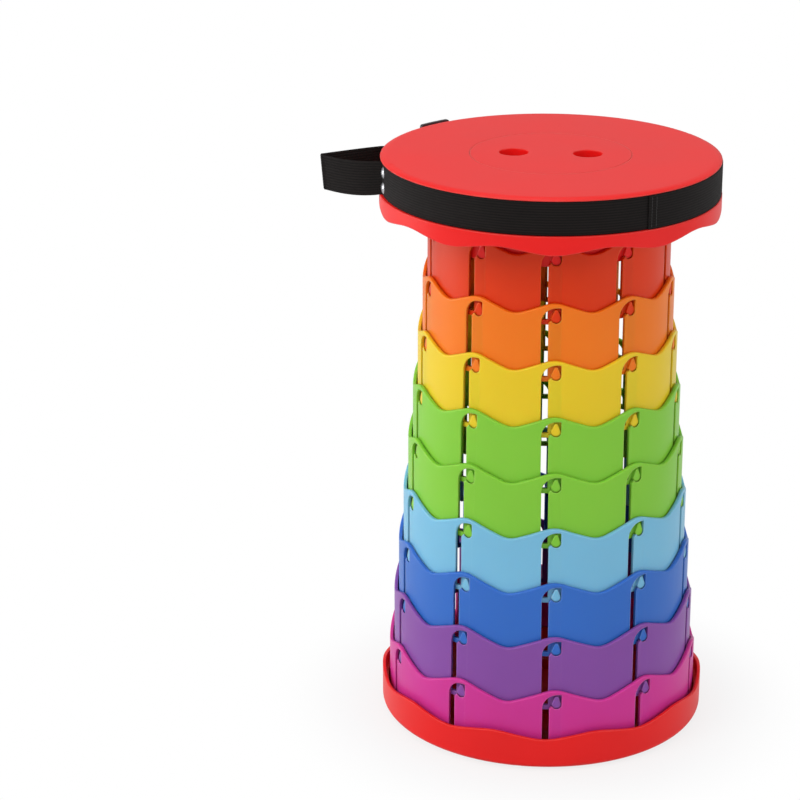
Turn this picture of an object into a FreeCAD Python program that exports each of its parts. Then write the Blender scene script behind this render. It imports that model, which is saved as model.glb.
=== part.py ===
import FreeCAD, Part
import math
import os
import re
import Sketcher
from FreeCAD import Placement, Rotation, Vector

# Collapsible telescopic stool, extended and locked. Millimetres, +Z up, front is -Y.
# The origin is on the floor, on the axis of the rings. Angles run from the front
# towards +X. Ring 1 is the top ring, and the last ring is fixed in the base.

SIZES = [
    # the telescoping rings
    ("ring_count", 9),
    ("slots_around", 10),
    ("top_ring_radius", 89.8),
    ("ring_step", 3.6),
    ("ring_wall", 2.6),
    ("ring_height", 57.9),
    ("ring_lift", 41.7),
    ("ring_lag", 0.3),
    ("wave_slope", 20),
    ("crest_round", 20),
    ("trough_round", 20),
    ("lip_round", 0.8),
    # the hooked slots and the knobs that lock in them
    ("slot_width", 5.2),
    ("slot_sill", 3.5),
    ("lock_shift", 8),
    ("pocket_turn", 3.5),
    ("crest_lead", 0.8),
    ("knob_width", 6.9),
    ("knob_height", 9.4),
    ("knob_tip_width", 2),
    ("knob_rise", 2),
    ("knob_reach", 1.6),
    ("knob_play", 0.3),
    ("hook_height", 11.6),
    ("hook_corner", 1),
    ("hook_tooth", 24),
    ("arch_round", 11),
    # the base
    ("foot_height", 2),
    ("foot_recess", 0.8),
    ("foot_outer_radius", 117.3),
    ("foot_width", 9),
    ("foot_play", 0.1),
    ("floor_thickness", 2.7),
    ("landing_gap", 0.3),
    ("base_radius", 124.3),
    ("base_wall", 2.4),
    ("base_corner", 4),
    ("rim_height", 25.5),
    ("socket_height", 19),
    ("rib_height", 8),
    ("rib_thickness", 2),
    ("hub_radius", 40),
    # the wavy parting line between base and seat
    ("parting_slope", 9.5),
    ("parting_round", 60),
    ("parting_turn", 1.8),
    ("parting_gap", 0.3),
    # the seat
    ("seat_lift", 40.7),
    ("seat_radius", 124.7),
    ("seat_thickness", 3.3),
    ("edge_band", 5.7),
    ("edge_fall", 1.6),
    ("edge_height", 2.1),
    ("groove_depth", 1.7),
    ("side_wall", 2.4),
    ("skirt_radius", 125.5),
    ("collar_flange", 2.4),
    ("flange_inner_radius", 64),
    ("boss_length", 8),
    ("boss_radius", 4.5),
    ("boss_circle", 73),
    ("boss_count", 5),
    # the centre disc with its two finger wells
    ("disc_radius", 59),
    ("disc_seam", 0.3),
    ("disc_turn", -2),
    ("ledge_width", 3.3),
    ("ledge_thickness", 2),
    ("well_radius", 11),
    ("well_depth", 14),
    ("well_wall", 1.5),
    ("well_spacing", 54),
    ("hook_leg", 2),
    ("hook_leg_width", 10),
    ("hook_barb", 1.5),
    ("hook_count", 4),
    # the screws that hold the collar
    ("screw_radius", 1.6),
    ("screw_length", 11),
    ("screw_head_radius", 3.8),
    ("screw_head_height", 2.4),
    ("screw_play", 0.2),
    # the carry strap, its slider and its rivets
    ("strap_width", 24.6),
    ("strap_thickness", 0.9),
    ("strap_gap", 0.2),
    ("overlap_start", 33.3),
    ("overlap_end", 222),
    ("loop_reach", 170),
    ("loop_fold_round", 2.6),
    ("rivet_half_span", 13.6),
    ("strap_tail", 2.4),
    ("rivet_spacing", 11.2),
    ("rivet_head_radius", 4.5),
    ("rivet_head_height", 1.6),
    ("rivet_shank_radius", 2),
    ("washer_thickness", 0.8),
    ("slider_turn", 225),
    ("slider_half_span", 6.4),
    ("slider_height", 29),
    ("slider_thickness", 2.2),
    ("slider_play", 0.4),
    ("slider_side_bar", 4.2),
    ("slider_window", 6.6),
    ("slider_corner", 2),
    # how far a cutting shape runs past the face it cuts
    ("lap", 1),
]

doc = FreeCAD.newDocument("TelescopicStool")
sheet = doc.addObject("Spreadsheet::Sheet", "Sizes")
for row, (name, number) in enumerate(SIZES, 1):
    sheet.set(f"A{row}", name)
    sheet.set(f"B{row}", str(number))
    sheet.setAlias(f"B{row}", name)
doc.recompute()

SIZE_NAMES = re.compile(r"\b(" + "|".join(name for name, number in SIZES) + r")\b")


def bound(formula):
    """The formula with each size name pointing at its cell of the sheet."""
    return SIZE_NAMES.sub(r"Sizes.\1", formula)


def value(formula):
    """The formula's number now."""
    return float(sheet.evalExpression(bound(formula)))


RING_COUNT = int(value("ring_count"))

# Levels that several pieces share, as formulas of the sizes above.
FLOOR_TOP = "(foot_height + floor_thickness)"
RING_REST = f"({FLOOR_TOP} + landing_gap)"
SEAT_LEVEL = f"({RING_REST} + ring_count * ring_lift)"
SEAT_FOLDED_LEVEL = f"({RING_REST} + ring_lift - seat_lift)"
POCKET_FLOOR = "(knob_rise + ring_lift - knob_play)"
POCKET_HALF = "(knob_width / 2 + knob_play)"
LAST_RING_RADIUS = "(top_ring_radius + (ring_count - 1) * ring_step)"
RING_GAP = "(ring_step - ring_wall)"
WAVE_HALF_ANGLE = "(180 / slots_around)"

# A knob grows from the web that the inner channel leaves, and reaches into the next ring.
KNOB_ROOT = "(ring_wall - knob_reach - knob_play)"
KNOB_LENGTH = f"({KNOB_ROOT} + {RING_GAP} + knob_reach)"

# Heights in the seat, measured from the lower edge of its collar.
DECK = "(ring_height - ring_lift + seat_lift + landing_gap)"
SEAT_TOP = f"({DECK} + seat_thickness)"
GROOVE_TOP = f"({SEAT_TOP} - edge_height)"
GROOVE_BOTTOM = f"({GROOVE_TOP} - strap_width - 2 * strap_gap)"
STRAP_MIDDLE = f"({GROOVE_BOTTOM} + strap_gap + strap_width / 2)"
SKIRT_LOW = f"(rim_height + parting_gap - {SEAT_FOLDED_LEVEL})"
FLANGE_TOP = f"({DECK} - boss_length)"

# Radii in the seat's side, from the groove outwards through two layers of webbing.
GROOVE_RADIUS = "(seat_radius - groove_depth)"
BAND_RADIUS = f"({GROOVE_RADIUS} + strap_gap)"
OVERLAP_RADIUS = f"({BAND_RADIUS} + strap_thickness + strap_gap)"
SLIDER_RADIUS = f"({OVERLAP_RADIUS} + strap_thickness + slider_play)"
SIDE_INNER_RADIUS = f"({GROOVE_RADIUS} - side_wall)"


def origin_feature(body, role):
    """One of the body's own origin planes or axes."""
    return next(item for item in body.Origin.OriginFeatures if item.Role == role)


def new_body(name, level="0"):
    """An empty body at the given height on the stool's axis."""
    body = doc.addObject("PartDesign::Body", name)
    body.Label = name
    body.setExpression("Placement.Base.z", bound(level))
    return body


def attached_sketch(body, name, role, turn, stand_off):
    """A sketch on an origin plane, turned about the axis and moved out from it."""
    sketch = body.newObject("Sketcher::SketchObject", name)
    sketch.AttachmentSupport = [(origin_feature(body, role), "")]
    sketch.MapMode = "FlatFace"
    if role == "XY_Plane":
        sketch.setExpression("AttachmentOffset.Base.z", bound(stand_off or "0"))
    elif turn:
        sketch.AttachmentOffset = Placement(Vector(), Rotation(Vector(0, 1, 0), value(turn)))
        sketch.setExpression("AttachmentOffset.Rotation.Angle", bound(turn))
        if stand_off:
            sketch.setExpression("AttachmentOffset.Base.x", bound(f"({stand_off}) * sin({turn})"))
            sketch.setExpression("AttachmentOffset.Base.z", bound(f"({stand_off}) * cos({turn})"))
    return sketch


def bind(sketch, kind, *place, formula):
    """A dimension of the sketch, bound to a formula of the sizes."""
    number = sketch.addConstraint(Sketcher.Constraint(kind, *place, value(formula)))
    sketch.setExpression(f"Constraints[{number}]", bound(formula))


def arc_between(start, end, radius, side):
    """The shorter arc from start to end; side 1 turns left, side -1 turns right."""
    half = (end - start) * 0.5
    reach = math.sqrt(max(radius ** 2 - half.Length ** 2, 0))
    centre = start + half + Vector(-half.y, half.x, 0).normalize() * reach * side
    angles = [math.atan2(spot.y - centre.y, spot.x - centre.x) for spot in (start, end)]
    low, high = angles if side > 0 else reversed(angles)
    circle = Part.Circle(centre, Vector(0, 0, 1), radius)
    return Part.ArcOfCircle(circle, low, high if high > low else high + 2 * math.pi)


def outline(body, name, corners, role="XZ_Plane", turn=None, stand_off=None):
    """A closed outline. A corner is (across, up) as formulas, and where the edge to the
    next corner is an arc, it is (across, up, radius, side)."""
    sketch = attached_sketch(body, name, role, turn, stand_off)
    spots = [Vector(value(corner[0]), value(corner[1]), 0) for corner in corners]
    heads = [2 if len(corner) > 2 and corner[3] < 0 else 1 for corner in corners]
    for index, corner in enumerate(corners):
        start, end = spots[index], spots[(index + 1) % len(corners)]
        if len(corner) > 2:
            sketch.addGeometry(arc_between(start, end, value(corner[2]), corner[3]))
        else:
            sketch.addGeometry(Part.LineSegment(start, end))
    for index, corner in enumerate(corners):
        following = (index + 1) % len(corners)
        tail = 3 - heads[index]
        sketch.addConstraint(Sketcher.Constraint("Coincident", index, tail, following, heads[following]))
        bind(sketch, "DistanceX", -1, 1, index, heads[index], formula=corner[0])
        bind(sketch, "DistanceY", -1, 1, index, heads[index], formula=corner[1])
        if len(corner) > 2:
            bind(sketch, "Radius", index, formula=corner[2])
    return sketch


def box_outline(body, name, left, right, low, high, **where):
    """A rectangular outline."""
    corners = [(left, low), (right, low), (right, high), (left, high)]
    return outline(body, name, corners, **where)


def circles(body, name, rounds, role="XY_Plane", turn=None, stand_off=None):
    """Full circles, each (across, up, radius)."""
    sketch = attached_sketch(body, name, role, turn, stand_off)
    for across, up, radius in rounds:
        middle = Vector(value(across), value(up), 0)
        index = sketch.addGeometry(Part.Circle(middle, Vector(0, 0, 1), value(radius)))
        bind(sketch, "DistanceX", -1, 1, index, 3, formula=across)
        bind(sketch, "DistanceY", -1, 1, index, 3, formula=up)
        bind(sketch, "Radius", index, formula=radius)
    return sketch


def revolve(body, name, sketch, angle="360", cut=False):
    """Turns the outline about the axis, as far to its left as to its right."""
    feature = body.newObject("PartDesign::Groove" if cut else "PartDesign::Revolution", name)
    feature.Profile = sketch
    feature.ReferenceAxis = (origin_feature(body, "Z_Axis"), [""])
    feature.Midplane = True
    feature.setExpression("Angle", bound(angle))
    return feature


def pad(body, name, sketch, length, both_ways=False, reversed_side=False):
    """Adds material in front of the sketch's plane."""
    feature = body.newObject("PartDesign::Pad", name)
    feature.Profile = sketch
    feature.setExpression("Length", bound(length))
    feature.Midplane = both_ways
    feature.Reversed = reversed_side
    return feature


def cut_out(body, name, sketch, length=None, reversed_side=True):
    """Cuts in front of the sketch's plane, right through where no length is given."""
    before = body.Shape.Volume if not body.Shape.isNull() else 0
    feature = body.newObject("PartDesign::Pocket", name)
    feature.Profile = sketch
    feature.Reversed = reversed_side
    if length:
        feature.setExpression("Length", bound(length))
    else:
        feature.Type = "ThroughAll"
    doc.recompute()
    if before and feature.Shape.Volume > before - 0.1:
        raise ValueError(f"{name} cuts nothing")
    return feature


def repeat_around(body, name, count, features=None):
    """Repeats features, or all that the body holds so far, evenly about the axis."""
    pattern = body.newObject("PartDesign::PolarPattern", name)
    if features:
        pattern.Originals = features
    else:
        pattern.TransformMode = "Whole shape"
    pattern.Axis = (origin_feature(body, "Z_Axis"), [""])
    pattern.Angle = 360
    pattern.setExpression("Occurrences", bound(count))
    body.Tip = pattern
    doc.recompute()
    return pattern


def wave_corners(radius, low, slope, middle_round, side_round, middle_is_crest, far):
    """One period of a wavy edge with its middle at 0, closed at the level far.
    The wave is two round bends joined by straight flanks of the given slope."""
    half = f"(({radius}) * sin({WAVE_HALF_ANGLE}))"
    straight = f"({half} - ({middle_round} + {side_round}) * sin({slope}))"
    middle_drop = f"({middle_round} * (1 - cos({slope})))"
    side_drop = f"({side_round} * (1 - cos({slope})))"
    high = f"({low} + {straight} * tan({slope}) + {middle_drop} + {side_drop})"
    if middle_is_crest:
        ends, bend, shoulder = low, 1, f"({low} + {side_drop})"
        hip = f"({high} - {middle_drop})"
    else:
        ends, bend, shoulder = high, -1, f"({high} - {side_drop})"
        hip = f"({low} + {middle_drop})"
    return [
        (f"-{half} - lap", ends),
        (f"-{half}", ends, side_round, bend),
        (f"-{half} + {side_round} * sin({slope})", shoulder),
        (f"-({middle_round} * sin({slope}))", hip, middle_round, -bend),
        (f"{middle_round} * sin({slope})", hip),
        (f"{half} - {side_round} * sin({slope})", shoulder, side_round, bend),
        (half, ends),
        (f"{half} + lap", ends),
        (f"{half} + lap", far),
        (f"-{half} - lap", far),
    ]


def parting_wave(radius, low, far):
    """The wavy edge on which the base and the seat meet, low at its middle."""
    return wave_corners(radius, low, "parting_slope", "parting_round", "parting_round", False, far)


PARTING_RISE = (
    f"((base_radius * sin({WAVE_HALF_ANGLE}) - 2 * parting_round * sin(parting_slope))"
    " * tan(parting_slope) + 2 * parting_round * (1 - cos(parting_slope)))"
)


def ring_radius(number):
    """The outer radius of a ring, where number 0 is the seat's collar."""
    return f"(top_ring_radius + ({number} - 1) * ring_step)"


def pocket_angle(number):
    """Where a ring's pockets lie: each lags a little behind the one above, by its knobs' play."""
    return f"(pocket_turn + ({number} - 1) * ring_lag)"


def knob_outline(body, name, number):
    """The drop-shaped knob of a ring, facing the pocket of the next ring outwards."""
    foot = "(knob_width / 2)"
    corners = [
        ("0", "knob_rise", foot, 1),
        (foot, f"knob_rise + {foot}"),
        ("knob_tip_width / 2", "knob_rise + knob_height"),
        ("-(knob_tip_width / 2)", "knob_rise + knob_height"),
        (f"-{foot}", f"knob_rise + {foot}", foot, 1),
    ]
    stand_off = f"({ring_radius(number)} - {KNOB_ROOT})"
    return outline(body, name, corners, turn=pocket_angle(number + 1), stand_off=stand_off)


def hooked_slot_corners():
    """A slot that arches over at its top into the pocket where a knob locks."""
    left, right = "(-lock_shift - slot_width / 2)", "(-lock_shift + slot_width / 2)"
    top = f"({POCKET_FLOOR} + hook_height)"
    return [
        (left, "slot_sill"),
        (right, "slot_sill"),
        (right, POCKET_FLOOR),
        (f"-{POCKET_HALF} * cos(hook_tooth)", f"{POCKET_FLOOR} + {POCKET_HALF} * (1 - sin(hook_tooth))",
         POCKET_HALF, 1),
        ("0", POCKET_FLOOR, POCKET_HALF, 1),
        (POCKET_HALF, f"{POCKET_FLOOR} + {POCKET_HALF}"),
        (POCKET_HALF, f"{top} - hook_corner", "hook_corner", 1),
        (f"{POCKET_HALF} - hook_corner", top),
        (f"{left} + arch_round", top, "arch_round", 1),
        (left, f"{top} - arch_round"),
    ]


def top_outer_edges(shape, radius, above):
    """The names of the edges of the wavy top on the outer face."""
    names = []
    for number, edge in enumerate(shape.Edges, 1):
        spots = edge.discretize(5)
        on_face = all(abs(math.hypot(spot.x, spot.y) - radius) < 0.01 for spot in spots)
        level = min(spot.z for spot in spots) > above
        sideways = math.hypot(spots[0].x - spots[-1].x, spots[0].y - spots[-1].y) > 0.5
        if on_face and level and sideways:
            names.append(f"Edge{number}")
    return names


def ring(number):
    """One telescoping ring: a tenth of it is shaped, then repeated around the axis."""
    name = f"ring_{number}"
    body = new_body(name, f"{RING_REST} + (ring_count - {number}) * ring_lift")
    radius = ring_radius(number)
    inner = f"({radius} - ring_wall)"
    locked = pocket_angle(number)
    crest = f"({locked} - crest_lead)"

    section = box_outline(body, f"{name}_section", inner, radius, "0", "ring_height + lap",
                          turn=f"({crest} - 90)")
    revolve(body, f"{name}_wall", section, f"2 * {WAVE_HALF_ANGLE}")
    doc.recompute()

    half = f"({radius} * sin({WAVE_HALF_ANGLE}))"
    rise = (f"(({half} - (crest_round + trough_round) * sin(wave_slope)) * tan(wave_slope)"
            " + (crest_round + trough_round) * (1 - cos(wave_slope)))")
    low = f"(ring_height - {rise})"
    corners = wave_corners(radius, low, "wave_slope", "crest_round", "trough_round", True,
                           "ring_height + 3 * lap")
    wave = outline(body, f"{name}_wave_line", corners, turn=crest)
    waved = cut_out(body, f"{name}_wave", wave)

    lip = body.newObject("PartDesign::Fillet", f"{name}_lip")
    lip.Base = (waved, top_outer_edges(waved.Shape, value(radius), value(low) / 2))
    lip.setExpression("Radius", bound("lip_round"))
    doc.recompute()

    slot = outline(body, f"{name}_slot_line", hooked_slot_corners(), turn=locked)
    cut_out(body, f"{name}_slot", slot)
    channel = box_outline(body, f"{name}_channel_line", f"-{POCKET_HALF}", POCKET_HALF, "-lap",
                          f"{POCKET_FLOOR} + {POCKET_HALF}", turn=locked)
    cut_out(body, f"{name}_channel", channel, f"{inner} + knob_reach + knob_play")
    pad(body, f"{name}_knob", knob_outline(body, f"{name}_knob_line", number), KNOB_LENGTH)
    doc.recompute()
    repeat_around(body, f"{name}_around", "slots_around")
    return body


def base_shell():
    """The red foot shell: a wavy rim, a floor with ribs and the sockets of the last ring."""
    body = new_body("base_shell")
    inner = f"({LAST_RING_RADIUS} + {RING_GAP})"
    rim_inner = "(base_radius - base_wall)"
    rim_top = f"(rim_height + {PARTING_RISE} + lap)"
    wall = outline(body, "base_wall_section", [
        (inner, "foot_height"),
        ("base_radius - base_corner", "foot_height", "base_corner", 1),
        ("base_radius", "foot_height + base_corner"),
        ("base_radius", rim_top),
        (rim_inner, rim_top),
        (rim_inner, "socket_height"),
        (inner, "socket_height"),
    ], turn="(parting_turn - 90)")
    revolve(body, "base_wall_turn", wall, f"2 * {WAVE_HALF_ANGLE}")
    doc.recompute()
    wave = outline(body, "base_wave_line", parting_wave("base_radius", "rim_height", f"{rim_top} + lap"),
                   turn="parting_turn")
    cut_out(body, "base_wave", wave)
    repeat_around(body, "base_wall_around", "slots_around")

    low = f"({RING_REST} + knob_rise - knob_play)"
    high = f"({RING_REST} + knob_rise + knob_height + knob_play)"
    entry = f"(3 * {POCKET_HALF} + knob_play)"
    socket = outline(body, "base_socket_line", [
        (f"-{entry}", low),
        (POCKET_HALF, low),
        (POCKET_HALF, high),
        (f"-{POCKET_HALF} - knob_play", high),
        (f"-{POCKET_HALF} - knob_play", "socket_height + lap"),
        (f"-{entry}", "socket_height + lap"),
    ], turn=pocket_angle("(ring_count + 1)"))
    sockets = cut_out(body, "base_socket", socket, f"{inner} + knob_reach + knob_play")
    repeat_around(body, "base_sockets", "slots_around", [sockets])

    landing = f"({LAST_RING_RADIUS} - ring_wall - lap)"
    floor = outline(body, "base_floor_section", [
        ("0", "foot_height"),
        ("foot_outer_radius - foot_width", "foot_height"),
        ("foot_outer_radius - foot_width", "foot_height + foot_recess"),
        ("foot_outer_radius", "foot_height + foot_recess"),
        ("foot_outer_radius", "foot_height"),
        (f"{inner} + lap", "foot_height"),
        (f"{inner} + lap", RING_REST),
        (landing, RING_REST),
        (landing, FLOOR_TOP),
        ("hub_radius", FLOOR_TOP),
        ("hub_radius", f"{FLOOR_TOP} + rib_height"),
        ("hub_radius - rib_thickness", f"{FLOOR_TOP} + rib_height"),
        ("hub_radius - rib_thickness", FLOOR_TOP),
        ("0", FLOOR_TOP),
    ])
    revolve(body, "base_floor", floor)
    doc.recompute()
    rib_end = f"({ring_radius(0)} - ring_wall - 2 * lap)"
    rib_line = box_outline(body, "base_rib_line", "hub_radius - rib_thickness / 2", rib_end,
                           f"{FLOOR_TOP} - lap", f"{FLOOR_TOP} + rib_height")
    rib = pad(body, "base_rib", rib_line, "rib_thickness", both_ways=True)
    repeat_around(body, "base_ribs", "slots_around", [rib])
    return body


def foot_ring():
    """The soft anti-slip ring set in the underside of the base."""
    body = new_body("foot_ring")
    section = box_outline(body, "foot_section", "foot_outer_radius - foot_width + foot_play",
                          "foot_outer_radius - foot_play", "0", "foot_height + foot_recess")
    revolve(body, "foot_turn", section)
    doc.recompute()
    return body


def rivet_circles(body, name, side, radius):
    """The two rivet places of one end of the carry loop, seen from outside."""
    turn = f"(-90 + {side} * rivet_half_span)"
    places = [("0", f"{STRAP_MIDDLE} + {sign} * rivet_spacing / 2", radius) for sign in (-1, 1)]
    return circles(body, name, places, role="XZ_Plane", turn=turn)


def seat_top():
    """The seat: a disc with a rounded edge, a groove for the strap and a wavy skirt."""
    body = new_body("seat_top", SEAT_LEVEL)
    skirt_inner = "(skirt_radius - side_wall)"
    skirt_top = f"({GROOVE_BOTTOM} - side_wall)"
    section = box_outline(body, "skirt_section", skirt_inner, "skirt_radius", f"{SKIRT_LOW} - lap",
                          skirt_top, turn="(parting_turn - 90)")
    revolve(body, "skirt_turn", section, f"2 * {WAVE_HALF_ANGLE}")
    doc.recompute()
    wave = outline(body, "skirt_wave_line", parting_wave("base_radius", SKIRT_LOW, f"{SKIRT_LOW} - 3 * lap"),
                   turn="parting_turn")
    cut_out(body, "skirt_wave", wave)
    repeat_around(body, "skirt_around", "slots_around")

    opening = "(disc_radius + disc_seam)"
    ledge_inner = "(disc_radius + disc_seam - ledge_width)"
    ledge_outer = "(disc_radius + disc_seam + ledge_width)"
    ledge_low = f"({DECK} - ledge_thickness)"
    disc = outline(body, "seat_section", [
        (opening, DECK),
        (opening, SEAT_TOP),
        ("seat_radius - edge_band", SEAT_TOP, "((edge_band^2 + edge_fall^2) / (2 * edge_fall))", -1),
        ("seat_radius", f"{SEAT_TOP} - edge_fall"),
        ("seat_radius", GROOVE_TOP),
        (GROOVE_RADIUS, GROOVE_TOP),
        (GROOVE_RADIUS, GROOVE_BOTTOM),
        ("skirt_radius", GROOVE_BOTTOM),
        ("skirt_radius", skirt_top),
        (SIDE_INNER_RADIUS, skirt_top),
        (SIDE_INNER_RADIUS, DECK),
        (ledge_outer, DECK),
        (ledge_outer, ledge_low),
        (ledge_inner, ledge_low),
        (ledge_inner, DECK),
    ])
    revolve(body, "seat_disc", disc)
    doc.recompute()

    boss_line = circles(body, "boss_line", [("boss_circle", "0", "boss_radius")], stand_off=FLANGE_TOP)
    boss = pad(body, "boss", boss_line, "boss_length + lap")
    repeat_around(body, "bosses", "boss_count", [boss])
    bore_line = circles(body, "boss_bore_line", [("boss_circle", "0", "screw_radius + screw_play / 2")],
                        stand_off=FLANGE_TOP)
    bore = cut_out(body, "boss_bore", bore_line, "screw_length - collar_flange + screw_play")
    repeat_around(body, "boss_bores", "boss_count", [bore])
    rib_turn = "(180 / boss_count + 90)"
    rib_line = box_outline(body, "seat_rib_line", f"{ledge_outer} - rib_thickness",
                           f"{ring_radius(0)} - ring_wall - lap", f"{FLANGE_TOP} + landing_gap", DECK,
                           turn=f"({rib_turn} - 90)")
    rib = pad(body, "seat_rib", rib_line, "rib_thickness", both_ways=True)
    repeat_around(body, "seat_ribs", "boss_count", [rib])
    for side in (-1, 1):
        holes = rivet_circles(body, f"rivet_hole_line_{side + 1}", side, "rivet_shank_radius + strap_gap / 2")
        cut_out(body, f"rivet_holes_{side + 1}", holes)
    return body


def seat_collar():
    """The ring under the seat whose knobs lock in ring 1, with a flange for its screws."""
    body = new_body("seat_collar", SEAT_LEVEL)
    radius = ring_radius(0)
    inner = f"({radius} - ring_wall)"
    section = outline(body, "collar_section", [
        (inner, "0"),
        (radius, "0"),
        (radius, DECK),
        (inner, DECK),
        (inner, FLANGE_TOP),
        ("flange_inner_radius", FLANGE_TOP),
        ("flange_inner_radius", f"{FLANGE_TOP} - collar_flange"),
        (inner, f"{FLANGE_TOP} - collar_flange"),
    ])
    revolve(body, "collar_turn", section)
    doc.recompute()
    knob = pad(body, "collar_knob", knob_outline(body, "collar_knob_line", 0), KNOB_LENGTH)
    repeat_around(body, "collar_knobs", "slots_around", [knob])
    hole_line = circles(body, "collar_hole_line", [("boss_circle", "0", "screw_radius + screw_play")],
                        stand_off=f"({FLANGE_TOP} - collar_flange - lap)")
    hole = cut_out(body, "collar_hole", hole_line, "collar_flange + 2 * lap")
    repeat_around(body, "collar_holes", "boss_count", [hole])
    return body


def seat_screws():
    """The self-tapping screws that pull the collar against the seat's bosses."""
    body = new_body("seat_screws", SEAT_LEVEL)
    under = f"({FLANGE_TOP} - collar_flange)"
    heads_line = circles(body, "screw_head_line", [("boss_circle", "0", "screw_head_radius")],
                         stand_off=f"({under} - screw_head_height)")
    pad(body, "screw_head", heads_line, "screw_head_height")
    shank_line = circles(body, "screw_shank_line", [("boss_circle", "0", "screw_radius")],
                         stand_off=f"({under} - screw_head_height / 2)")
    shank = pad(body, "screw_shank", shank_line, "screw_length + screw_head_height / 2")
    doc.recompute()
    edges = shank.Shape.Edges
    corner = body.newObject("PartDesign::Fillet", "screw_head_round")
    lowest = min(range(len(edges)), key=lambda index: edges[index].BoundBox.ZMax)
    corner.Base = (shank, [f"Edge{lowest + 1}"])
    corner.setExpression("Radius", bound("screw_head_height / 2"))
    doc.recompute()
    repeat_around(body, "screws_around", "boss_count")
    return body


def centre_disc():
    """The disc in the middle of the seat, with two blind finger wells and snap hooks."""
    body = new_body("centre_disc", SEAT_LEVEL)
    body.setExpression("Placement.Rotation.Angle", bound("disc_turn"))
    plate = circles(body, "disc_line", [("0", "0", "disc_radius")], stand_off=DECK)
    pad(body, "disc_plate", plate, "seat_thickness")
    cup_low = f"({SEAT_TOP} - well_depth - well_wall)"
    wells = [(f"{sign} * well_spacing / 2", "0") for sign in (-1, 1)]
    cups = circles(body, "cup_line", [(across, up, "well_radius + well_wall") for across, up in wells],
                   stand_off=cup_low)
    pad(body, "cups", cups, "well_depth + well_wall")
    doc.recompute()
    bores = circles(body, "well_line", [(across, up, "well_radius") for across, up in wells],
                    stand_off=f"({cup_low} + well_wall)")
    cut_out(body, "wells", bores, "well_depth + lap")
    ledge_low = f"({DECK} - ledge_thickness)"
    leg = "(disc_radius + disc_seam - ledge_width - disc_seam)"
    hook_line = outline(body, "hook_line", [
        (f"{leg} - hook_leg", DECK),
        (f"{leg} - hook_leg", f"{ledge_low} - 3 * hook_barb"),
        (leg, f"{ledge_low} - 3 * hook_barb"),
        (f"{leg} + hook_barb", f"{ledge_low} - disc_seam - hook_barb / 2"),
        (f"{leg} + hook_barb", f"{ledge_low} - disc_seam"),
        (leg, f"{ledge_low} - disc_seam"),
        (leg, DECK),
    ], turn="(180 / hook_count)")
    hook = pad(body, "hook", hook_line, "hook_leg_width", both_ways=True)
    repeat_around(body, "hooks", "hook_count", [hook])
    return body


def webbing_arc(name, radius, start, end):
    """A stretch of webbing that lies around the seat's side, between two angles."""
    body = new_body(name, SEAT_LEVEL)
    low = f"({STRAP_MIDDLE} - strap_width / 2)"
    section = box_outline(body, f"{name}_section", radius, f"{radius} + strap_thickness", low,
                          f"{low} + strap_width", turn=f"(({start} + {end}) / 2 - 90)")
    revolve(body, f"{name}_turn", section, f"({end} - {start})")
    doc.recompute()
    return body


def strap_band():
    """The inner layer of webbing, right around the groove from one loop end to the other."""
    start = "(-90 + rivet_half_span - strap_tail)"
    end = "(270 - rivet_half_span + strap_tail)"
    body = webbing_arc("strap_band", BAND_RADIUS, start, end)
    for side in (-1, 1):
        holes = rivet_circles(body, f"band_hole_line_{side + 1}", side, "rivet_shank_radius + strap_gap / 2")
        cut_out(body, f"band_holes_{side + 1}", holes)
    return body


def strap_overlap():
    """The outer layer, from its sewn end around the right side to the slider."""
    return webbing_arc("strap_overlap", OVERLAP_RADIUS, "overlap_start", "overlap_end")


def carry_loop():
    """The free stretch of webbing between the rivets, folded sharply at its far end."""
    body = new_body("carry_loop", SEAT_LEVEL)
    low = f"({STRAP_MIDDLE} - strap_width / 2)"
    root = "(rivet_half_span - strap_tail - strap_gap)"
    root_across = f"(({BAND_RADIUS} + strap_thickness) * cos({root}))"
    root_along = f"(({BAND_RADIUS} + strap_thickness) * sin({root}))"
    lean = f"atan({root_along} / (loop_reach - {root_across}))"
    inner_across = f"-{root_across} + strap_thickness * sin({lean})"
    inner_along = f"({root_along} - strap_thickness * cos({lean}))"
    corners = [
        ("-loop_reach", "0"),
        (f"-{root_across}", f"-{root_along}"),
        (inner_across, f"-{inner_along}"),
        (f"-loop_reach + strap_thickness / sin({lean})", "0"),
        (inner_across, inner_along),
        (f"-{root_across}", root_along),
    ]
    line = outline(body, "loop_line", corners, role="XY_Plane", stand_off=low)
    legs = pad(body, "loop_legs", line, "strap_width")
    doc.recompute()
    fold = body.newObject("PartDesign::Fillet", "loop_fold")
    reach = value("loop_reach - 3 * strap_thickness")
    edges = {}
    for number, edge in enumerate(legs.Shape.Edges, 1):
        upright = abs(edge.BoundBox.ZLength - value("strap_width")) < 0.01
        if upright and edge.BoundBox.XMax < -reach:
            edges[edge.BoundBox.XMax] = f"Edge{number}"
    fold.Base = (legs, [edges[max(edges)]])
    fold.setExpression("Radius", bound("loop_fold_round - strap_thickness"))
    doc.recompute()
    outer_fold = body.newObject("PartDesign::Fillet", "loop_outer_fold")
    outer = [number for number, edge in enumerate(fold.Shape.Edges, 1)
             if abs(edge.BoundBox.XMin + value("loop_reach")) < 0.01 and edge.BoundBox.XLength < 0.01]
    outer_fold.Base = (fold, [f"Edge{outer[0]}"])
    outer_fold.setExpression("Radius", bound("loop_fold_round"))
    doc.recompute()
    return body


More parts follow.
